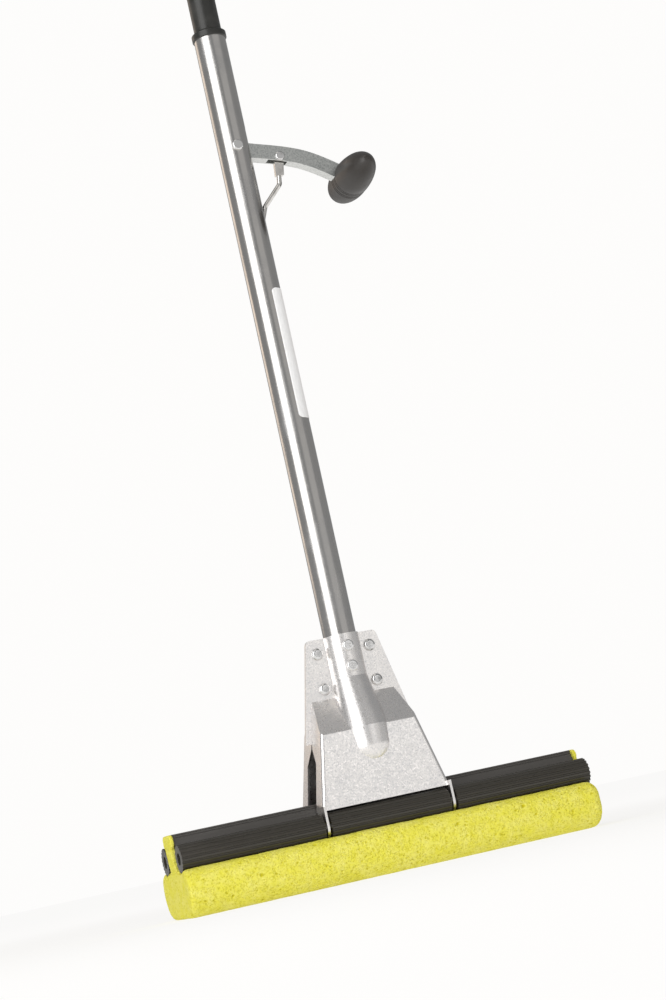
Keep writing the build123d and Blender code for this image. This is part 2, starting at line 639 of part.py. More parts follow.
with BuildPart() as tube_label:
    label_outer = TUBE_RADIUS + FIXED_GAP + LABEL_THICKNESS
    label_middle = LABEL_START + LABEL_ANGLE / 2
    label_half_chord = label_outer * sin(radians(LABEL_ANGLE / 2))
    facing = Vector(sin(radians(label_middle)), -cos(radians(label_middle)), 0)
    across = Vector(cos(radians(label_middle)), sin(radians(label_middle)), 0)
    label_centre = LABEL_BOTTOM + LABEL_HEIGHT / 2
    with BuildSketch(Plane((0, 0, label_centre), x_dir=across, z_dir=facing)):
        RectangleRounded(2 * label_half_chord, LABEL_HEIGHT, 2.5)
    extrude(amount=2 * label_outer)
    with BuildSketch(Plane.XY.offset(LABEL_BOTTOM - 1)):
        Circle(label_outer)
        Circle(TUBE_RADIUS + FIXED_GAP, mode=Mode.SUBTRACT)
    extrude(amount=LABEL_HEIGHT + 2, mode=Mode.INTERSECT)
finish(tube_label, "tube_label")

with BuildPart() as lever_pivot_pin:
    with BuildSketch(Plane.XZ):
        with Locations((0, PIVOT_HEIGHT)):
            Circle(PIVOT_RADIUS)
    extrude(amount=TUBE_RADIUS + 0.5, both=True)
    for side in (-1, 1):
        head_seat = (0, side * (TUBE_RADIUS + 0.05), PIVOT_HEIGHT)
        head_plane = Plane(head_seat, x_dir=(1, 0, 0), z_dir=(0, side, 0))
        with BuildSketch(head_plane):
            Circle(PIVOT_HEAD_RADIUS)
        extrude(amount=PIVOT_HEAD_HEIGHT)
    for group in (0, -1):
        crown_edges = lever_pivot_pin.edges().filter_by(GeomType.CIRCLE).group_by(Axis.Y)[group]
        fillet(crown_edges, PIVOT_HEAD_HEIGHT * 0.7)
finish(lever_pivot_pin, "lever_pivot_pin")


# ------------------------------------------------------------------ lever, grip and link
def lever_outline(grow=0.0, drop=0.0):
    """Side outline of the lever in the XZ plane, grown by a clearance or lowered."""
    half = LEVER_DEPTH / 2 + grow
    run_angle = atan2(-LINK_PIN_DROP, LINK_PIN_REACH)
    end_angle = atan2(-(GRIP_DROP - LEVER_BEND_DROP), GRIP_REACH - LEVER_BEND_REACH)
    middle_angle = (run_angle + end_angle) / 2

    def beside(x, z, angle, shift):
        """A point beside the centre line, square to a direction."""
        return (x - sin(angle) * shift, z + cos(angle) * shift)

    pivot_height = PIVOT_HEIGHT - drop
    tip = (GRIP_REACH + 3.0 + grow, pivot_height - GRIP_DROP - 2.0)
    bend = (LEVER_BEND_REACH, pivot_height - LEVER_BEND_DROP)
    pivot = (0.0, pivot_height)
    with BuildSketch(Plane.XZ) as outline:
        with BuildLine():
            top_start = beside(*pivot, run_angle, half)
            top_bend = beside(*bend, middle_angle, half)
            top_end = beside(*tip, end_angle, half)
            low_end = beside(*tip, end_angle, -half)
            low_bend = beside(*bend, middle_angle, -half)
            low_start = beside(*pivot, run_angle, -half)
            run = (cos(run_angle), sin(run_angle))
            fall = (cos(end_angle), sin(end_angle))
            Spline(top_start, top_bend, top_end, tangents=(run, fall))
            Line(top_end, low_end)
            Spline(low_start, low_bend, low_end, tangents=(run, fall))
            back = (pivot[0] - cos(run_angle) * half, pivot[1] - sin(run_angle) * half)
            ThreePointArc(top_start, back, low_start)
        make_face()
    return outline.sketch


with BuildPart() as lever:
    extrude(lever_outline(), amount=LEVER_WIDTH / 2, both=True)
    # the strip is a channel, open above: take out the inside over the bottom web
    for rise in (LEVER_SHEET, LEVER_DEPTH * 0.6):
        extrude(lever_outline(drop=-rise), amount=LEVER_WIDTH / 2 - LEVER_SHEET, both=True, mode=Mode.SUBTRACT)
    # the link swings through a slot in the web
    with BuildSketch(Plane.XY.offset(PIVOT_HEIGHT - LEVER_BEND_DROP - LEVER_DEPTH)):
        with Locations(((LINK_SLOT_START + LINK_SLOT_END) / 2, 0)):
            Rectangle(LINK_SLOT_END - LINK_SLOT_START, LEVER_WIDTH - 2 * LEVER_SHEET)
    extrude(amount=LEVER_BEND_DROP + LEVER_DEPTH, mode=Mode.SUBTRACT)
    with BuildSketch(Plane.XZ):
        with Locations((0, PIVOT_HEIGHT)):
            Circle(PIVOT_RADIUS + RUNNING_GAP)
        with Locations((LINK_PIN_REACH, LINK_PIN_HEIGHT)):
            Circle(LINK_PIN_RADIUS + FIXED_GAP)
        with Locations((GRIP_REACH, GRIP_HEIGHT)):
            Circle(GRIP_SCREW_RADIUS + FIXED_GAP)
    extrude(amount=LEVER_WIDTH, both=True, mode=Mode.SUBTRACT)
finish(lever, "lever")

with BuildPart() as link_pin:
    with BuildSketch(Plane.XZ):
        with Locations((LINK_PIN_REACH, LINK_PIN_HEIGHT)):
            Circle(LINK_PIN_RADIUS)
    extrude(amount=LEVER_WIDTH / 2 + 0.5, both=True)
    for side in (-1, 1):
        flange_seat = (LINK_PIN_REACH, side * (LEVER_WIDTH / 2 + 0.05), LINK_PIN_HEIGHT)
        with BuildSketch(Plane(flange_seat, x_dir=(1, 0, 0), z_dir=(0, side, 0))):
            Circle(3.3)
        extrude(amount=1.5)
    for group in (0, -1):
        fillet(link_pin.edges().filter_by(GeomType.CIRCLE).group_by(Axis.Y)[group], 1.0)
finish(link_pin, "link_pin")


def build_grip_half(name, side):
    """One half of the egg-shaped grip; side -1 is the front half, +1 the rear half."""
    grip_origin = (GRIP_REACH, 0, GRIP_HEIGHT)
    half_length = GRIP_FRONT_LENGTH if side < 0 else GRIP_REAR_LENGTH
    with BuildPart() as half:
        with BuildSketch(Plane(grip_origin, x_dir=(1, 0, 0), z_dir=(0, 0, 1))):
            with BuildLine():
                # flat at the seam, then two shallow grooves, then the egg's curve
                Line((0, side * half_length), (0, side * 0.05))
                Line((0, side * 0.05), (GRIP_RADIUS, side * 0.05))
                groove_start = 0.05
                for groove in GRIP_GROOVES:
                    Polyline(
                        (GRIP_RADIUS, side * groove_start),
                        (GRIP_RADIUS, side * groove),
                        (GRIP_RADIUS - GRIP_GROOVE_SIZE, side * groove),
                        (GRIP_RADIUS - GRIP_GROOVE_SIZE, side * (groove + GRIP_GROOVE_SIZE)),
                        (GRIP_RADIUS, side * (groove + GRIP_GROOVE_SIZE)),
                    )
                    groove_start = groove + GRIP_GROOVE_SIZE
                egg = []
                for turn in (0, 25, 50, 72, 90):
                    along = groove_start + (half_length - groove_start) * sin(radians(turn))
                    egg.append((GRIP_RADIUS * cos(radians(turn)), side * along))
                Spline(*egg, tangents=((0, side), (-1, 0)))
            make_face()
        revolve(axis=Axis(grip_origin, (0, 1, 0)))
        pocket = lever_outline(grow=FIXED_GAP * 3)
        extrude(pocket, amount=LEVER_WIDTH / 2 + FIXED_GAP, both=True, mode=Mode.SUBTRACT)
        with BuildSketch(Plane.XZ):
            with Locations((GRIP_REACH, GRIP_HEIGHT)):
                Circle(GRIP_SCREW_RADIUS + FIXED_GAP)
        if side > 0:
            extrude(amount=-2 * GRIP_REAR_LENGTH, mode=Mode.SUBTRACT)
            with BuildSketch(Plane.XZ.offset(-half_length * 0.7)):
                with Locations((GRIP_REACH, GRIP_HEIGHT)):
                    Circle(GRIP_SCREW_HEAD_RADIUS + FIXED_GAP)
            extrude(amount=-2 * GRIP_REAR_LENGTH, mode=Mode.SUBTRACT)
        else:
            extrude(amount=half_length * 0.55, mode=Mode.SUBTRACT)
    finish(half, name)


build_grip_half("lever_grip_front", -1)
build_grip_half("lever_grip_rear", 1)

with BuildPart() as grip_screw:
    head_y = GRIP_REAR_LENGTH * 0.7
    with BuildSketch(Plane.XZ.offset(-head_y)):
        with Locations((GRIP_REACH, GRIP_HEIGHT)):
            Circle(GRIP_SCREW_RADIUS)
    extrude(amount=head_y + GRIP_FRONT_LENGTH * 0.5)
    with BuildSketch(Plane.XZ.offset(-head_y)):
        with Locations((GRIP_REACH, GRIP_HEIGHT)):
            Circle(GRIP_SCREW_HEAD_RADIUS)
    extrude(amount=-2.4)
    with BuildSketch(Plane.XZ.offset(-head_y - 2.4)):
        with Locations((GRIP_REACH, GRIP_HEIGHT)):
            Rectangle(0.9, 3.6)
            Rectangle(3.6, 0.9)
    extrude(amount=1.2, mode=Mode.SUBTRACT)
finish(grip_screw, "grip_screw")

with BuildPart() as pull_link:
    pin_place = (LINK_PIN_REACH, LINK_PIN_HEIGHT)
    tongue_end = (LINK_PIN_REACH - 1.8, LINK_PIN_HEIGHT - LINK_TONGUE_LENGTH)
    ring_side = (LINK_RING_RADIUS * 0.75, ROD_PIN_HEIGHT + LINK_RING_RADIUS * 0.66)
    # flattened and punched upper end
    with BuildSketch(Plane.XZ):
        with Locations(pin_place):
            Circle(LINK_EYE_RADIUS)
        with BuildLine():
            Polyline(
                (pin_place[0] - LINK_EYE_RADIUS, pin_place[1]),
                (pin_place[0] + LINK_EYE_RADIUS, pin_place[1]),
                (tongue_end[0] + LINK_WIRE_RADIUS + 1.2, tongue_end[1]),
                (tongue_end[0] - LINK_WIRE_RADIUS - 1.2, tongue_end[1]),
                close=True,
            )
        make_face()
    extrude(amount=LINK_WIRE_RADIUS, both=True)
    # bent wire down to the ring inside the tube
    with BuildLine(Plane.XZ) as wire:
        FilletPolyline(
            (tongue_end[0], tongue_end[1] + 3),
            (LINK_PIN_REACH - 3.0, LINK_PIN_HEIGHT - 19.0),
            (LINK_PIN_REACH - 17.0, LINK_PIN_HEIGHT - 34.0),
            (LINK_PIN_REACH - 20.5, LINK_PIN_HEIGHT - 43.0),
            ring_side,
            radius=5.0,
        )
    with BuildSketch(Plane(wire.line @ 0, z_dir=wire.line % 0)):
        Circle(LINK_WIRE_RADIUS)
    sweep(path=wire.line)
    with BuildSketch(Plane.XZ):
        with Locations((0, ROD_PIN_HEIGHT)):
            Circle(LINK_RING_RADIUS + LINK_RING_WIRE / 2)
            Circle(LINK_RING_RADIUS - LINK_RING_WIRE / 2, mode=Mode.SUBTRACT)
    extrude(amount=LINK_RING_WIRE / 2, both=True)
    with BuildSketch(Plane.XZ):
        with Locations(pin_place):
            Circle(LINK_PIN_RADIUS + RUNNING_GAP)
        with Locations((0, ROD_PIN_HEIGHT)):
            Circle(LINK_RING_RADIUS - LINK_RING_WIRE / 2)
    extrude(amount=4 * LINK_WIRE_RADIUS, both=True, mode=Mode.SUBTRACT)
finish(pull_link, "pull_link")
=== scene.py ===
"""Looks of the roller sponge mop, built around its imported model.

Everything is in metres, in the model's own frame: +Z up the handle, +X along the rollers on the
lever's side, -Y towards the front, with the origin under the middle of the sponge.
"""

import logging
import math
from dataclasses import dataclass
from enum import Enum
from typing import Any, Callable, Iterable, Optional, Union

import bpy
from mathutils import Matrix, Vector, noise


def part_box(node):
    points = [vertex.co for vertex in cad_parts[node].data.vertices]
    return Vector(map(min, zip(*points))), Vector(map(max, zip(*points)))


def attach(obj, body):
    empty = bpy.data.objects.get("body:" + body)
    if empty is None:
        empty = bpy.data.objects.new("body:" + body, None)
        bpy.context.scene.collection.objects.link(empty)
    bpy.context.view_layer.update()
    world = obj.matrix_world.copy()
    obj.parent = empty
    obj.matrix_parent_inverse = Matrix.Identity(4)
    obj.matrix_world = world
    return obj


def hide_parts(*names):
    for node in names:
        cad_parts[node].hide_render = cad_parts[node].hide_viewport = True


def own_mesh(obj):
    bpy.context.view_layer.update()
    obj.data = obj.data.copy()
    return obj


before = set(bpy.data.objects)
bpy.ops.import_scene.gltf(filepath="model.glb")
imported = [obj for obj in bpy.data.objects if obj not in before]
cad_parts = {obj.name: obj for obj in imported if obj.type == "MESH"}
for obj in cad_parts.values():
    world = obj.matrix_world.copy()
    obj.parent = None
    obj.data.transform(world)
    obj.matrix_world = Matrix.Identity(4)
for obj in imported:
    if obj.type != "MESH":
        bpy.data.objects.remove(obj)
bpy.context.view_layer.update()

logging.basicConfig(level=logging.INFO, format="%(name)s: %(message)s")
LOG = logging.getLogger("mop")

MM = 0.001
Number = Union[int, float]
Colour = tuple[float, float, float]


# ---------------------------------------------------------------------- shader maths
class Signal:
    """A shader socket that takes part in arithmetic."""

    def __init__(self, graph: "Graph", socket: bpy.types.NodeSocket) -> None:
        """Keep the graph the socket belongs to, and the socket."""
        self.graph = graph
        self.socket = socket

    def _math(self, operation: str, first: Any, second: Any) -> "Signal":
        """Add one Math node.

        Args:
            operation: the Math node's operation.
            first: left value or signal.
            second: right value or signal.

        Returns:
            The node's result.
        """
        return self.graph.node("ShaderNodeMath", {"operation": operation}, {0: first, 1: second})

    def __add__(self, other: Any) -> "Signal":
        """self + other."""
        return self._math("ADD", self, other)

    def __radd__(self, other: Any) -> "Signal":
        """other + self."""
        return self._math("ADD", other, self)

    def __sub__(self, other: Any) -> "Signal":
        """self - other."""
        return self._math("SUBTRACT", self, other)

    def __rsub__(self, other: Any) -> "Signal":
        """other - self."""
        return self._math("SUBTRACT", other, self)

    def __mul__(self, other: Any) -> "Signal":
        """self * other."""
        return self._math("MULTIPLY", self, other)

    def __rmul__(self, other: Any) -> "Signal":
        """other * self."""
        return self._math("MULTIPLY", other, self)

    def between(
        self, low: Number, high: Number, bottom: Number = 0.0, top: Number = 1.0
    ) -> "Signal":
        """Rescale smoothly from low..high to bottom..top.

        Args:
            low: value that becomes bottom.
            high: value that becomes top.
            bottom: lowest result.
            top: highest result.

        Returns:
            The rescaled signal.
        """
        return self.graph.node(
            "ShaderNodeMapRange",
            {"interpolation_type": "SMOOTHSTEP"},
            {"Value": self, "From Min": low, "From Max": high, "To Min": bottom, "To Max": top},
        )


class Graph:
    """A material's node graph, with one way to add any node."""

    def __init__(self, name: str) -> None:
        """Start an empty material.

        Args:
            name: the material's name.
        """
        self.material = bpy.data.materials.new(name)
        self.material.use_nodes = True
        self.tree = self.material.node_tree
        self.tree.nodes.clear()

    def node(
        self,
        kind: str,
        settings: Optional[dict[str, Any]] = None,
        inputs: Optional[dict[Any, Any]] = None,
        output: Any = 0,
    ) -> Signal:
        """Add a node.

        Args:
            kind: Blender's type name of the node.
            settings: the node's own settings, set before its sockets.
            inputs: values or signals by socket name or index.
            output: name or index of the output wanted.

        Returns:
            The wanted output.
        """
        made = self.tree.nodes.new(kind)
        for key, value in (settings or {}).items():
            setattr(made, key, value)
        for key, value in (inputs or {}).items():
            if isinstance(value, Signal):
                self.tree.links.new(value.socket, made.inputs[key])
            else:
                made.inputs[key].default_value = value
        return Signal(self, made.outputs[output])

    def place(self, stretch: Colour = (1.0, 1.0, 1.0)) -> Signal:
        """Object coordinates in metres, stretched along each axis."""
        where = self.node("ShaderNodeTexCoord", output="Object")
        return self.node("ShaderNodeMapping", None, {"Vector": where, "Scale": stretch})

    def noise(
        self, where: Signal, scale: float, detail: float = 3.0, roughness: float = 0.55
    ) -> Signal:
        """Cloudy noise from 0 to 1 with a number of features per metre."""
        values = {"Vector": where, "Scale": scale, "Detail": detail, "Roughness": roughness}
        return self.node("ShaderNodeTexNoise", None, values)

    def cells(self, where: Signal, scale: float, output: str = "Distance") -> Signal:
        """Cell pattern: distance to the nearest cell centre, or a random colour for each cell."""
        return self.node("ShaderNodeTexVoronoi", None, {"Vector": where, "Scale": scale}, output)

    def blend(self, share: Any, first: Any, second: Any) -> Signal:
        """Mix two colours.

        Args:
            share: how much of the second colour shows, from 0 to 1.
            first: colour or signal at 0.
            second: colour or signal at 1.

        Returns:
            The mixed colour.
        """
        made = self.tree.nodes.new("ShaderNodeMix")
        made.data_type = "RGBA"
        colour_inputs = [socket for socket in made.inputs if socket.type == "RGBA"]
        sockets = {made.inputs[0]: share, colour_inputs[0]: first, colour_inputs[1]: second}
        for socket, value in sockets.items():
            if isinstance(value, Signal):
                self.tree.links.new(value.socket, socket)
            else:
                socket.default_value = (*value, 1.0) if isinstance(value, tuple) else value
        result = [socket for socket in made.outputs if socket.type == "RGBA"][0]
        return Signal(self, result)

    def relief(self, height: Signal, depth: float, strength: float = 1.0) -> Signal:
        """Turn a height from 0 to 1 into a normal, with its depth in metres."""
        values = {"Height": height, "Distance": depth, "Strength": strength}
        return self.node("ShaderNodeBump", None, values)

    def finish(self, inputs: dict[str, Any]) -> bpy.types.Material:
        """Close the graph with a principled surface.

        Args:
            inputs: the surface's values and signals by socket name.

        Returns:
            The finished material.
        """
        shader = self.node("ShaderNodeBsdfPrincipled", None, inputs)
        end = self.tree.nodes.new("ShaderNodeOutputMaterial")
        self.tree.links.new(shader.socket, end.inputs["Surface"])
        return self.material


# ---------------------------------------------------------------------- finishes
@dataclass(frozen=True)
class TubeSteel:
    """Bright drawn steel tube with faint drawing lines and hazy patches."""

    name: str = "drawn_tube_steel"
    tone: Colour = (0.60, 0.582, 0.562)
    haze: Colour = (0.46, 0.455, 0.45)
    roughness: float = 0.19
    haze_share: float = 0.65
    haze_roughness: float = 0.1
    scuff_roughness: float = 0.09
    line_depth: float = 0.000004

    def make(self) -> bpy.types.Material:
        """Build the material.

        Returns:
            The finished material.
        """
        graph = Graph(self.name)
        lines = graph.noise(graph.place((2600.0, 2600.0, 9.0)), 1.0, 2.0)
        patches = graph.noise(graph.place(), 26.0, 5.0, 0.6)
        scuffs = graph.noise(graph.place((90.0, 90.0, 26.0)), 1.0, 4.0, 0.65)
        haze = patches.between(0.42, 0.68)
        colour = graph.blend(haze * self.haze_share, self.tone, self.haze)
        scuffed = scuffs.between(0.52, 0.75, 0.0, self.scuff_roughness)
        roughness = self.roughness + haze * self.haze_roughness + scuffed
        return graph.finish({
            "Base Color": colour,
            "Metallic": 1.0,
            "Roughness": roughness,
            "Normal": graph.relief(lines, self.line_depth),
        })


@dataclass(frozen=True)
class ZincPlate:
    """Zinc-plated steel with fine grain and spangle, and a painted highlight on faces that look down.
    """

    name: str = "zinc_plate"
    light: Colour = (0.945, 0.91, 0.88)
    dark: Colour = (0.50, 0.515, 0.545)
    roughness: float = 0.25
    grain: float = 1050.0
    spangle: float = 950.0
    grain_depth: float = 0.000022
    contrast: float = 0.62
    # edge sets the strength of a painted highlight on faces that look down; the tone below is that
    # highlight's colour.
    edge: float = 0.0
    underside_highlight_tone: Colour = (0.86, 0.86, 0.84)

    def make(self) -> bpy.types.Material:
        """Build the material.

        Returns:
            The finished material.
        """
        graph = Graph(self.name)
        where = graph.place()
        grain = graph.noise(where, self.grain, 2.5)
        flakes = graph.cells(where, self.spangle, "Color")
        flake = graph.node("ShaderNodeSeparateColor", None, {"Color": flakes})
        patches = graph.noise(where, 60.0, 4.0)
        clouds = patches.between(0.35, 0.75, 0.0, 0.2)
        shade = flake * 0.3 + clouds + grain.between(0.42, 0.7, 0.0, 0.55)
        colour = graph.blend(shade * self.contrast, self.light, self.dark)
        # Painted highlight: faces that look down are blended towards a light tone.
        if self.edge:
            facing = graph.node("ShaderNodeTexCoord", output="Normal")
            height = graph.node("ShaderNodeSeparateXYZ", None, {0: facing}, "Z")
            painted_underside_highlight = height.between(-0.95, -0.35, self.edge, 0.0)
            colour = graph.blend(painted_underside_highlight, colour, self.underside_highlight_tone)
        roughness = self.roughness + flake * 0.08 + grain.between(0.4, 0.7, 0.0, 0.12)
        return graph.finish({
            "Base Color": colour,
            "Metallic": 1.0,
            "Roughness": roughness,
            "Normal": graph.relief(grain, self.grain_depth),
        })


@dataclass(frozen=True)
class BrightMetal:
    """Smooth plated metal for wire, rivets and screws."""

    name: str = "bright_metal"
    light: Colour = (0.74, 0.735, 0.73)
    dark: Colour = (0.34, 0.335, 0.33)
    roughness: float = 0.1
    soil_share: float = 0.55
    mark_depth: float = 0.000018

    def make(self) -> bpy.types.Material:
        """Build the material.

        Returns:
            The finished material.
        """
        graph = Graph(self.name)
        where = graph.place()
        marks = graph.noise(where, 520.0, 4.0, 0.6)
        soil = graph.noise(where, 160.0, 3.0).between(0.5, 0.72)
        return graph.finish({
            "Base Color": graph.blend(soil * self.soil_share, self.light, self.dark),
            "Metallic": 1.0,
            "Roughness": self.roughness + marks.between(0.4, 0.7, 0.0, 0.14),
            "Normal": graph.relief(marks, self.mark_depth),
        })


@dataclass(frozen=True)
class MouldedPlastic:
    """Satin moulded plastic with a fine moulded grain and rubbed patches."""

    name: str
    colour: Colour
    rubbed: Colour
    roughness: float = 0.36
    grain_depth: float = 0.000012
    streak: Colour = (1.0, 1.0, 1.0)

    def make(self) -> bpy.types.Material:
        """Build the material.

        Returns:
            The finished material.
        """
        graph = Graph(self.name)
        fine = graph.noise(graph.place(), 2100.0, 2.0)
        worn = graph.noise(graph.place(self.streak), 60.0, 5.0, 0.62)
        rub = worn.between(0.5, 0.74)
        return graph.finish({
            "Base Color": graph.blend(rub, self.colour, self.rubbed),
            "Roughness": self.roughness + worn.between(0.3, 0.7, -0.06, 0.1),
            "Normal": graph.relief(fine, self.grain_depth),
            "Specular IOR Level": 0.5,
        })


@dataclass(frozen=True)
class LabelFilm:
    """Plain white printed film, with a soft fibre texture and no print."""

    name: str = "label_film"
    colour: Colour = (0.86, 0.855, 0.85)
    shade: Colour = (0.78, 0.775, 0.77)
    fibre_depth: float = 0.00001

    def make(self) -> bpy.types.Material:
        """Build the material.

        Returns:
            The finished material.
        """
        graph = Graph(self.name)
        fibres = graph.noise(graph.place((900.0, 900.0, 240.0)), 1.0, 4.0, 0.7)
        return graph.finish({
            "Base Color": graph.blend(fibres.between(0.35, 0.75), self.colour, self.shade),
            "Roughness": fibres.between(0.3, 0.7, 0.34, 0.48),
            "Normal": graph.relief(fibres, self.fibre_depth),
        })


@dataclass(frozen=True)
class CelluloseSponge:
    """Yellow cellulose sponge with painted shade in its open pores, pinholes and fibre gaps, and a fine
    fibrous skin.
    """

    name: str = "cellulose_sponge"
    skin: Colour = (0.76, 0.71, 0.08)
    pale: Colour = (0.81, 0.76, 0.17)
    # Colour of the painted shade deep in the pores.
    pore: Colour = (0.60, 0.53, 0.018)
    glow_reach: Colour = (0.0025, 0.0022, 0.0006)
    skin_depth: float = 0.00045

    def make(self) -> bpy.types.Material:
        """Build the material.

        Returns:
            The finished material.
        """
        graph = Graph(self.name)
        where = graph.place()
        layer = {"attribute_name": SpongeRefill.PORE_LAYER}
        depth = graph.node("ShaderNodeAttribute", layer, output="Fac")
        pinholes = graph.cells(where, 900.0).between(0.15, 0.5)
        fibres = graph.noise(where, 1100.0, 4.0, 0.75)
        clouds = graph.noise(where, 110.0, 4.0, 0.7)
        skin = graph.blend(clouds.between(0.35, 0.7), self.skin, self.pale)
        # Painted shade: pores are darkened by their depth, and pinholes and gaps between fibres by
        # noise.
        fibre_gap_shade = fibres.between(0.35, 0.65, 0.3, 0.0)
        painted_pore_shade = (depth * 0.95 + (1 - pinholes) * 0.34 + fibre_gap_shade).between(0.0, 1.1)
        colour = graph.blend(painted_pore_shade, skin, self.pore)
        height = pinholes * 0.6 + fibres * 0.4
        return graph.finish({
            "Base Color": colour,
            "Roughness": 0.9,
            "Specular IOR Level": 0.25,
            "Subsurface Weight": 0.12,
            "Subsurface Radius": self.glow_reach,
            "Subsurface Scale": 1.0,
            "Normal": graph.relief(height, self.skin_depth),
        })


class Finish(Enum):
    """The mop's finishes, by what they are used on."""

    TUBE = TubeSteel()
    BRACKET = ZincPlate("bracket_zinc")
    LEVER = ZincPlate(
        "lever_zinc",
        light=(0.64, 0.65, 0.63),
        dark=(0.27, 0.29, 0.285),
        roughness=0.3,
        grain=900.0,
        spangle=620.0,
        grain_depth=0.00003,
        contrast=0.9,
        # edge paints a highlight on the lever's downward faces.
        edge=0.45,
    )
    FASTENER = BrightMetal("plated_fastener")
    WIRE = BrightMetal("bright_wire", light=(0.74, 0.72, 0.69), dark=(0.40, 0.38, 0.36), roughness=0.14)
    HANDLE = MouldedPlastic(
        "handle_coating", (0.017, 0.017, 0.015), (0.03, 0.029, 0.026), roughness=0.3
    )
    ROLLER = MouldedPlastic(
        "roller_plastic",
        (0.034, 0.030, 0.023),
        (0.050, 0.044, 0.036),
        roughness=0.27,
        grain_depth=0.00001,
        streak=(0.15, 1.0, 1.0),
    )
    CARRIER = MouldedPlastic(
        "carrier_plastic",
        (0.062, 0.057, 0.051),
        (0.078, 0.072, 0.066),
        roughness=0.3,
        grain_depth=0.000008,
        streak=(0.12, 1.0, 1.0),
    )
    GRIP = MouldedPlastic(
        "grip_plastic",
        (0.030, 0.026, 0.023),
        (0.042, 0.037, 0.033),
        roughness=0.4,
        grain_depth=0.000022,
    )
    GUIDE = MouldedPlastic("guide_nylon", (0.62, 0.61, 0.58), (0.7, 0.69, 0.66), 0.45)
    LABEL = LabelFilm()
    SPONGE = CelluloseSponge()


class Paint:
    """Makes each finish once and puts it on pieces."""

    made: dict[Finish, bpy.types.Material] = {}

    @classmethod
    def material(cls, finish: Finish) -> bpy.types.Material:
        """Find or make the material of a finish.

        Args:
            finish: the finish wanted.

        Returns:
            Its material.
        """
        if finish not in cls.made:
            cls.made[finish] = finish.value.make()
        return cls.made[finish]

    @classmethod
    def on(cls, piece: bpy.types.Object, finish: Finish) -> None:
        """Give a piece one finish all over."""
        piece.data.materials.clear()
        piece.data.materials.append(cls.material(finish))

    @classmethod
    def nodes(cls, names: Iterable[str], finish: Finish) -> None:
        """Give CAD nodes a finish.

        Args:
            names: the nodes' names.
            finish: the finish they share.
        """
        for name in names:
            cls.on(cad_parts[name], finish)
            LOG.info("%s is finished as %s", name, finish.name.lower())


# ---------------------------------------------------------------------- modelling
class Bench:
    """Modelling moves shared by the pieces, each made with Blender's own tools."""

    @staticmethod
    def clear() -> None:
        """Leave everything unselected, in object mode."""
        if bpy.context.mode != "OBJECT":
            bpy.ops.object.mode_set(mode="OBJECT")
        bpy.ops.object.select_all(action="DESELECT")

    @staticmethod
    def settle(piece: bpy.types.Object) -> None:
        """Bring a piece's place, turn and size into its mesh."""
        Bench.pick(piece)
        bpy.ops.object.transform_apply(location=True, rotation=True, scale=True)

    @staticmethod
    def pick(piece: bpy.types.Object) -> None:
        """Select one piece alone and make it active.

        Args:
            piece: the piece to select.
        """
        Bench.clear()
        piece.select_set(True)
        bpy.context.view_layer.objects.active = piece

    @staticmethod
    def block(name: str, low: Vector, high: Vector) -> bpy.types.Object:
        """A block between two corners.

        Args:
            name: the piece's name.
            low: lowest corner.
            high: highest corner.

        Returns:
            The new piece, settled.
        """
        Bench.clear()
        bpy.ops.mesh.primitive_cube_add(size=1.0, location=(low + high) / 2, scale=high - low)
        piece = bpy.context.active_object
        piece.name = name
        Bench.settle(piece)
        return piece

    @staticmethod
    def round_edges(
        piece: bpy.types.Object, test: Callable[[Vector, Vector], bool], size: float, steps: int
    ) -> None:
        """Bevel the edges that a test picks.

        Args:
            piece: the piece to work on.
            test: takes an edge's middle and its direction and says whether it is rounded.
            size: how far the rounding reaches from the edge.
            steps: number of faces across the rounding.
        """
        Bench.pick(piece)
        bpy.ops.object.mode_set(mode="EDIT")
        bpy.ops.mesh.select_mode(type="EDGE")
        bpy.ops.mesh.select_all(action="DESELECT")
        bpy.ops.object.mode_set(mode="OBJECT")
        points = piece.data.vertices
        for edge in piece.data.edges:
            start, end = (points[index].co for index in edge.vertices)
            edge.select = test((start + end) / 2, (end - start).normalized())
        bpy.ops.object.mode_set(mode="EDIT")
        bpy.ops.mesh.bevel(offset=size, segments=steps, affect="EDGES")
        bpy.ops.object.mode_set(mode="OBJECT")

    @staticmethod
    def modify(piece: bpy.types.Object, kind: str, **settings: Any) -> None:
        """Add a modifier and apply it.

        Args:
            piece: the piece to work on.
            kind: Blender's type name of the modifier.
            settings: the modifier's settings.
        """
        Bench.pick(piece)
        modifier = piece.modifiers.new(kind.lower(), kind)
        for key, value in settings.items():
            setattr(modifier, key, value)
        bpy.ops.object.modifier_apply(modifier=modifier.name)

    @staticmethod
    def cut(
        piece: bpy.types.Object, cutter: bpy.types.Object, operation: str = "DIFFERENCE"
    ) -> None:
        """Cut a piece with another, or join it, and remove the cutter."""
        Bench.modify(piece, "BOOLEAN", object=cutter, operation=operation, solver="EXACT")
        bpy.data.objects.remove(cutter)

    @staticmethod
    def smooth(piece: bpy.types.Object) -> None:
        """Shade smooth all over."""
        Bench.pick(piece)
        bpy.ops.object.shade_smooth_by_angle(angle=math.pi)


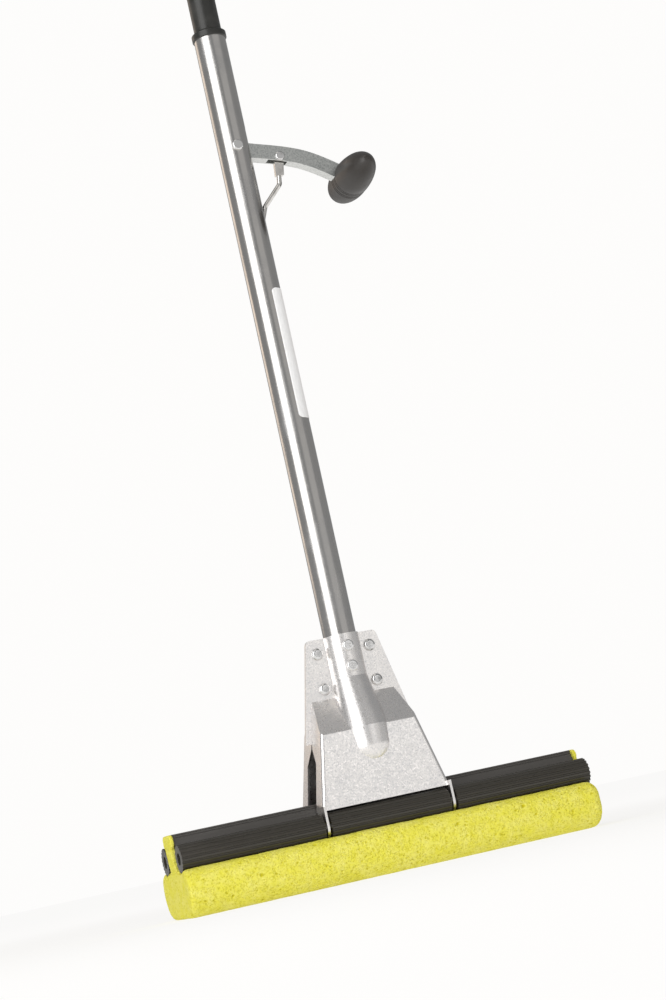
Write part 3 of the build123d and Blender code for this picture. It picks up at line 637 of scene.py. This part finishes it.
# ---------------------------------------------------------------------- sponge
@dataclass
class SpongeRefill:
    """The sponge in two pieces: the lobe under the rollers, and the neck with its bead that rises."""

    PORE_LAYER = "pore"

    roller_radius: float = 9.4 * MM
    roller_height: float = 37.4 * MM
    roller_spread: float = 20.2 * MM
    lobe_top: float = 30.5 * MM
    lower_rounding: float = 14.5 * MM
    upper_rounding: float = 10.5 * MM
    left_rounding: float = 3.0 * MM
    right_rounding: float = 6.5 * MM
    neck_width: float = 15.0 * MM
    neck_foot: float = 4.0 * MM
    bead_end_width: float = 22.0 * MM
    bead_end_height: float = 9.0 * MM
    bead_end_length: float = 2.6 * MM
    mesh_size: float = 0.62 * MM
    kept_thickness: float = 0.42
    large_cell: float = 8.0 * MM
    middle_cell: float = 3.6 * MM
    small_cell: float = 1.9 * MM
    large_depth: float = 1.3 * MM
    middle_depth: float = 0.85 * MM
    small_depth: float = 0.5 * MM
    # Pore depth at which the painted pore shade is at its darkest.
    darkest_depth: float = 1.0 * MM
    neck_taper: float = 1.6 * MM
    neck_pore_share: float = 0.6
    overlap: float = 0.1 * MM
    rounding_steps: int = 6
    lower_rounding_steps: int = 10
    roller_sides: int = 64
    smooth_factor: float = 0.5
    smooth_rounds: int = 7

    def build(self) -> None:
        """Make both pieces and put them on their bodies."""
        low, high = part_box("sponge")
        lobe = self.lobe(low, high)
        neck = self.neck(low, high)
        for piece, depth in ((lobe, 1.0), (neck, self.neck_pore_share)):
            self.knit(piece)
            self.open_pores(piece, depth)
            Bench.smooth(piece)
            Paint.on(piece, Finish.SPONGE)
            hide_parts("sponge")
            LOG.info("%s has %d faces", piece.name, len(piece.data.polygons))
        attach(lobe, "handle")
        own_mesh(lobe)
        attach(neck, "puller")

    def lobe(self, low: Vector, high: Vector) -> bpy.types.Object:
        """Model the rounded lobe that is pressed against the rollers.

        Args:
            low: lowest corner of the sponge's box.
            high: highest corner of the sponge's box.

        Returns:
            The lobe, with its plain surface.
        """
        lobe = Bench.block("sponge_lobe", low, Vector((high.x, high.y, self.lobe_top)))
        middle = self.lobe_top / 2
        top = self.lobe_top - self.overlap
        end = high.x - self.overlap
        Bench.round_edges(
            lobe,
            lambda at, way: abs(way.x) > 0.9 and at.z < middle,
            self.lower_rounding,
            self.lower_rounding_steps,
        )
        Bench.round_edges(
            lobe,
            lambda at, way: abs(way.x) > 0.9 and at.z > top,
            self.upper_rounding,
            self.rounding_steps,
        )
        for side, size in ((-1, self.left_rounding), (1, self.right_rounding)):
            Bench.round_edges(
                lobe,
                lambda at, way: side * at.x > end and abs(way.x) < 0.1,
                size,
                self.rounding_steps,
            )
        for side in (-1, 1):
            Bench.cut(lobe, self.roller_shape(side, high.x))
        return lobe

    def roller_shape(self, side: int, reach: float) -> bpy.types.Object:
        """Model a long round bar where a roller runs, a little larger than the roller.

        Args:
            side: -1 in front, 1 behind.
            reach: half of the sponge's length.

        Returns:
            The bar.
        """
        Bench.clear()
        bpy.ops.mesh.primitive_cylinder_add(
            vertices=self.roller_sides,
            radius=self.roller_radius,
            depth=3 * reach,
            location=(0, side * self.roller_spread, self.roller_height),
            rotation=(0, math.pi / 2, 0),
        )
        bar = bpy.context.active_object
        Bench.settle(bar)
        return bar

    def neck(self, low: Vector, high: Vector) -> bpy.types.Object:
        """Model the neck, its hidden foot in the lobe, and the bead's two ends.

        Args:
            low: lowest corner of the sponge's box.
            high: highest corner of the sponge's box.

        Returns:
            The neck, with its plain surface.
        """
        half = self.neck_width / 2
        carrier_low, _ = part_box("sponge_carrier")
        neck_top = carrier_low.z + 2 * MM
        neck = Bench.block(
            "sponge_neck",
            Vector((low.x, -half, self.neck_foot)),
            Vector((high.x, half, neck_top)),
        )
        for point in neck.data.vertices:
            if point.co.z < neck_top / 2:
                point.co.x -= math.copysign(self.neck_taper, point.co.x)
        for side in (-1, 1):
            inner = side * (high.x - self.bead_end_length)
            outer = side * high.x
            bottom = high.z - self.bead_end_height
            bead = Bench.block(
                "bead_end",
                Vector((min(inner, outer), -self.bead_end_width / 2, bottom)),
                Vector((max(inner, outer), self.bead_end_width / 2, high.z)),
            )
            Bench.round_edges(
                bead,
                lambda at, way: abs(way.x) > 0.9,
                self.bead_end_height * 0.42,
                self.rounding_steps,
            )
            riser = Bench.block(
                "bead_riser",
                Vector((min(inner, outer), -half, neck_top - 3 * MM)),
                Vector((max(inner, outer), half, bottom + 2 * MM)),
            )
            Bench.cut(neck, riser, "UNION")
            Bench.cut(neck, bead, "UNION")
        return neck

    def knit(self, piece: bpy.types.Object) -> None:
        """Turn a piece into one even fine mesh with softened corners."""
        Bench.modify(piece, "REMESH", mode="VOXEL", voxel_size=self.mesh_size)
        Bench.modify(piece, "SMOOTH", factor=self.smooth_factor, iterations=self.smooth_rounds)

    def open_pores(self, piece: bpy.types.Object, depth: float) -> None:
        """Press pores and soft waves into the surface, and keep their depth for the painted pore shade
        in the finish.

        Args:
            piece: a finely meshed piece.
            depth: share of the full pore depth.
        """
        mesh = piece.data
        pores = mesh.attributes.new(self.PORE_LAYER, "FLOAT", "POINT")
        moved: list[Vector] = []
        for index, point in enumerate(mesh.vertices):
            place = point.co
            wave = noise.noise(place / (11 * MM)) * 0.25 * MM
            wave += noise.noise(place / (2.2 * MM)) * 0.12 * MM
            crowd = noise.noise(place / (26 * MM) + Vector((3.1, 0.4, 1.7)))
            large = self.pit(place, self.large_cell, 0.20, 0.30 + 0.3 * crowd)
            middle = self.pit(place, self.middle_cell, 0.30, 0.62 + 0.5 * crowd)
            small = self.pit(place, self.small_cell, 0.46, 0.92)
            sink = depth * max(
                large * self.large_depth, middle * self.middle_depth, small * self.small_depth
            )
            # The kept depth sets how dark the painted pore shade is.
            pores.data[index].value = min(1.0, sink / self.darkest_depth)
            new = place + point.normal * (wave - sink)
            new.z = max(new.z, 0.0)
            moved.append(new)
        for point, new in zip(mesh.vertices, moved):
            point.co = new
        mesh.update()

    @staticmethod
    def pit(place: Vector, cell: float, reach: float, share: float) -> float:
        """How deep a place lies in a pore.

        Args:
            place: the point on the surface.
            cell: spacing of the pores.
            reach: a pore's largest radius as a share of the spacing.
            share: share of the cells that hold a pore.

        Returns:
            0 outside a pore, rising to 1 at its middle.
        """
        distances, centres = noise.voronoi(place / cell)
        chance = noise.cell(centres[0] * 3.7)
        if chance > share * 2 - 1:
            return 0.0
        size = reach * (0.6 + 0.4 * abs(noise.cell(centres[0] * 9.1)))
        fall = max(0.0, 1.0 - distances[0] / size)
        return math.sqrt(fall)


# ---------------------------------------------------------------------- dressed sub-assemblies
@dataclass
class RollerRows:
    """Two rows of three fluted rollers on their axles."""

    places: tuple[str, ...] = ("left", "middle", "right")

    def dress(self) -> None:
        """Finish rollers, axles and retainers."""
        for row in ("front", "rear"):
            Paint.nodes([f"{row}_roller_{place}" for place in self.places], Finish.ROLLER)
        Paint.nodes(("front_axle", "rear_axle", "axle_retainers"), Finish.WIRE)


@dataclass
class SpongeHolder:
    """The carrier channel, its yoke and the rod that pulls them."""

    def dress(self) -> None:
        """Finish the carrier, yoke, screws and rod."""
        Paint.nodes(("sponge_carrier", "carrier_yoke"), Finish.CARRIER)
        Paint.nodes(("yoke_screws", "yoke_pin", "rod_pin"), Finish.FASTENER)
        Paint.nodes(("pull_rod",), Finish.WIRE)


@dataclass
class PressedBracket:
    """The two pressed halves with their rivets and tube screws."""

    def dress(self) -> None:
        """Finish the pressings and their fasteners."""
        Paint.nodes(("front_bracket", "rear_bracket"), Finish.BRACKET)
        Paint.nodes(("bracket_rivets", "tube_screws"), Finish.FASTENER)


@dataclass
class Handle:
    """The steel tube, its label, the coated upper handle and their fittings."""

    def dress(self) -> None:
        """Finish the handle's pieces."""
        Paint.nodes(("steel_tube",), Finish.TUBE)
        Paint.nodes(("upper_handle", "tube_collar", "end_cap"), Finish.HANDLE)
        Paint.nodes(("tube_label",), Finish.LABEL)
        Paint.nodes(("rod_guide",), Finish.GUIDE)


@dataclass
class WringLever:
    """The lever with its grip, pins and wire link."""

    def dress(self) -> None:
        """Finish the lever's pieces."""
        Paint.nodes(("lever",), Finish.LEVER)
        Paint.nodes(("lever_grip_front", "lever_grip_rear"), Finish.GRIP)
        Paint.nodes(("pull_link",), Finish.WIRE)
        Paint.nodes(("lever_pivot_pin", "link_pin", "grip_screw"), Finish.FASTENER)


# ---------------------------------------------------------------------- studio
def direction(azimuth: float, elevation: float) -> Vector:
    """Point from the mop towards a place around it.

    Args:
        azimuth: turn to the right of the front, in degrees.
        elevation: height above level, in degrees.

    Returns:
        A vector of length 1.
    """
    turn, lift = math.radians(azimuth), math.radians(elevation)
    level = math.cos(lift)
    return Vector((math.sin(turn) * level, -math.cos(turn) * level, math.sin(lift)))


@dataclass
class Softbox:
    """One soft rectangular light aimed at the mop."""

    name: str
    azimuth: float
    elevation: float
    distance: float
    width: float
    height: float
    power: float
    aim: tuple[float, float, float] = (0.0, 0.0, 0.3)
    colour: Colour = (1.0, 1.0, 1.0)
    mirrored: bool = True
    only: tuple[str, ...] = ()

    def build(self) -> None:
        """Hang the light and aim it."""
        data = bpy.data.lights.new(self.name, "AREA")
        data.shape = "RECTANGLE"
        data.size, data.size_y = self.width, self.height
        data.energy = self.power
        data.color = self.colour
        lamp = bpy.data.objects.new(self.name, data)
        bpy.context.scene.collection.objects.link(lamp)
        away = direction(self.azimuth, self.elevation)
        lamp.location = Vector(self.aim) + away * self.distance
        lamp.rotation_euler = away.to_track_quat("Z", "Y").to_euler()
        lamp.visible_camera = False
        lamp.visible_glossy = self.mirrored
        if self.only:
            lit = bpy.data.collections.new(f"{self.name}_receivers")
            for name in self.only:
                lit.objects.link(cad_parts[name])
            lamp.light_linking.receiver_collection = lit


@dataclass
class Studio:
    """A white table and backdrop, soft lights and the camera."""

    azimuth: float = -18.95
    elevation: float = -9.05
    roll: float = -12.41
    distance: float = 1.4135
    target: tuple[float, float, float] = (0.0160, 0.0, 0.2501)
    lens: float = 75.37
    sensor_width: float = 36.0
    clip: tuple[float, float] = (0.05, 200.0)
    floor_size: float = 60.0
    backdrop_white: Colour = (0.985, 0.978, 0.968)
    warm: Colour = (1.0, 0.82, 0.66)
    room_grey: Colour = (0.86, 0.87, 0.88)
    room_strength: float = 0.36
    near_floor: Colour = (0.28, 0.28, 0.275)
    far_floor: Colour = (0.05, 0.05, 0.05)
    near_glow: float = 0.74
    far_glow: float = 0.95
    glow_start: float = 0.12
    glow_end: float = 1.1
    bracket_pieces: tuple[str, ...] = ("front_bracket", "bracket_rivets", "tube_screws")

    def build(self) -> None:
        """Set the floor, the surroundings, the lights and the camera."""
        self.floor()
        self.surroundings()
        self.lights()
        self.camera()

    def floor(self) -> None:
        """A wide white table top that glows faintly, so it has no far edge."""
        Bench.clear()
        bpy.ops.mesh.primitive_plane_add(size=self.floor_size, location=(0, 0, 0))
        table = bpy.context.active_object
        table.name = "white_table"
        graph = Graph("white_table_top")
        away = graph.node("ShaderNodeVectorMath", {"operation": "LENGTH"}, {0: graph.place()}, "Value")
        far = away.between(self.glow_start, self.glow_end)
        near_glow = tuple(part * self.near_glow for part in self.backdrop_white)
        far_glow = tuple(part * self.far_glow for part in self.backdrop_white)
        table.data.materials.append(graph.finish({
            "Base Color": graph.blend(far, self.near_floor, self.far_floor),
            "Roughness": 0.9,
            "Specular IOR Level": 0.0,
            "Emission Color": graph.blend(far, near_glow, far_glow),
            "Emission Strength": 1.0,
        }))

    def surroundings(self) -> None:
        """White to the camera, mid grey to the mop."""
        world = bpy.data.worlds.new("studio")
        bpy.context.scene.world = world
        world.use_nodes = True
        tree = world.node_tree
        tree.nodes.clear()
        seen = tree.nodes.new("ShaderNodeBackground")
        seen.inputs["Color"].default_value = (*self.backdrop_white, 1.0)
        seen.inputs["Strength"].default_value = 1.0
        lit = tree.nodes.new("ShaderNodeBackground")
        lit.inputs["Color"].default_value = (*self.room_grey, 1.0)
        lit.inputs["Strength"].default_value = self.room_strength
        choose = tree.nodes.new("ShaderNodeMixShader")
        path = tree.nodes.new("ShaderNodeLightPath")
        end = tree.nodes.new("ShaderNodeOutputWorld")
        tree.links.new(path.outputs["Is Camera Ray"], choose.inputs["Fac"])
        tree.links.new(lit.outputs["Background"], choose.inputs[1])
        tree.links.new(seen.outputs["Background"], choose.inputs[2])
        tree.links.new(choose.outputs["Shader"], end.inputs["Surface"])

    def lights(self) -> None:
        """Hang the soft lights."""
        bracket_middle = (0.0, 0.0, 0.1)
        boxes = (
            Softbox("strip_left", -49.0, 12.0, 1.6, 1.3, 2.4, 23.0),
            Softbox("front_fill", -8.0, 22.0, 2.2, 1.6, 1.2, 13.0, mirrored=False),
            Softbox(
                "right_panel",
                azimuth=30.0,
                elevation=13.0,
                distance=2.0,
                width=1.7,
                height=2.0,
                power=2.3,
                aim=(0.0, 0.0, 0.15),
                colour=(1.0, 0.97, 0.93),
            ),
            Softbox(
                "bracket_panel",
                azimuth=18.0,
                elevation=20.0,
                distance=2.0,
                width=0.8,
                height=0.95,
                power=1.6,
                aim=bracket_middle,
                only=self.bracket_pieces,
            ),
            Softbox("top_soft", -20.0, 70.0, 2.0, 1.0, 1.0, 2.6, colour=(1.0, 0.95, 0.88)),
            Softbox("back_left", -150.0, 25.0, 2.0, 1.0, 1.6, 5.0, colour=self.warm),
            Softbox(
                "back_right",
                azimuth=120.0,
                elevation=20.0,
                distance=2.0,
                width=0.7,
                height=1.6,
                power=4.0,
                colour=self.warm,
                mirrored=False,
            ),
        )
        for box in boxes:
            box.build()

    def camera(self) -> None:
        """Place the camera low on the left, looking a little up, and tilt it."""
        back = direction(self.azimuth, self.elevation)
        roll = math.radians(self.roll)
        right = (-back).cross(Vector((0, 0, 1))).normalized()
        up = right.cross(-back)
        level = right * math.cos(roll) + up * math.sin(roll)
        upright = up * math.cos(roll) - right * math.sin(roll)
        data = bpy.data.cameras.new("camera")
        data.lens = self.lens
        data.sensor_width = self.sensor_width
        data.clip_start, data.clip_end = self.clip
        camera = bpy.data.objects.new("camera", data)
        bpy.context.scene.collection.objects.link(camera)
        turned = Matrix((level, upright, back)).transposed().to_4x4()
        place = Vector(self.target) + back * self.distance
        camera.matrix_world = Matrix.Translation(place) @ turned
        bpy.context.scene.camera = camera


def main() -> None:
    """Build the sub-assemblies in order, then the studio."""
    bpy.context.scene.view_settings.view_transform = "Standard"
    SpongeRefill().build()
    for assembly in (RollerRows(), SpongeHolder(), PressedBracket(), Handle(), WringLever()):
        assembly.dress()
    Studio().build()
    Bench.clear()


if __name__ == "__main__":
    main()
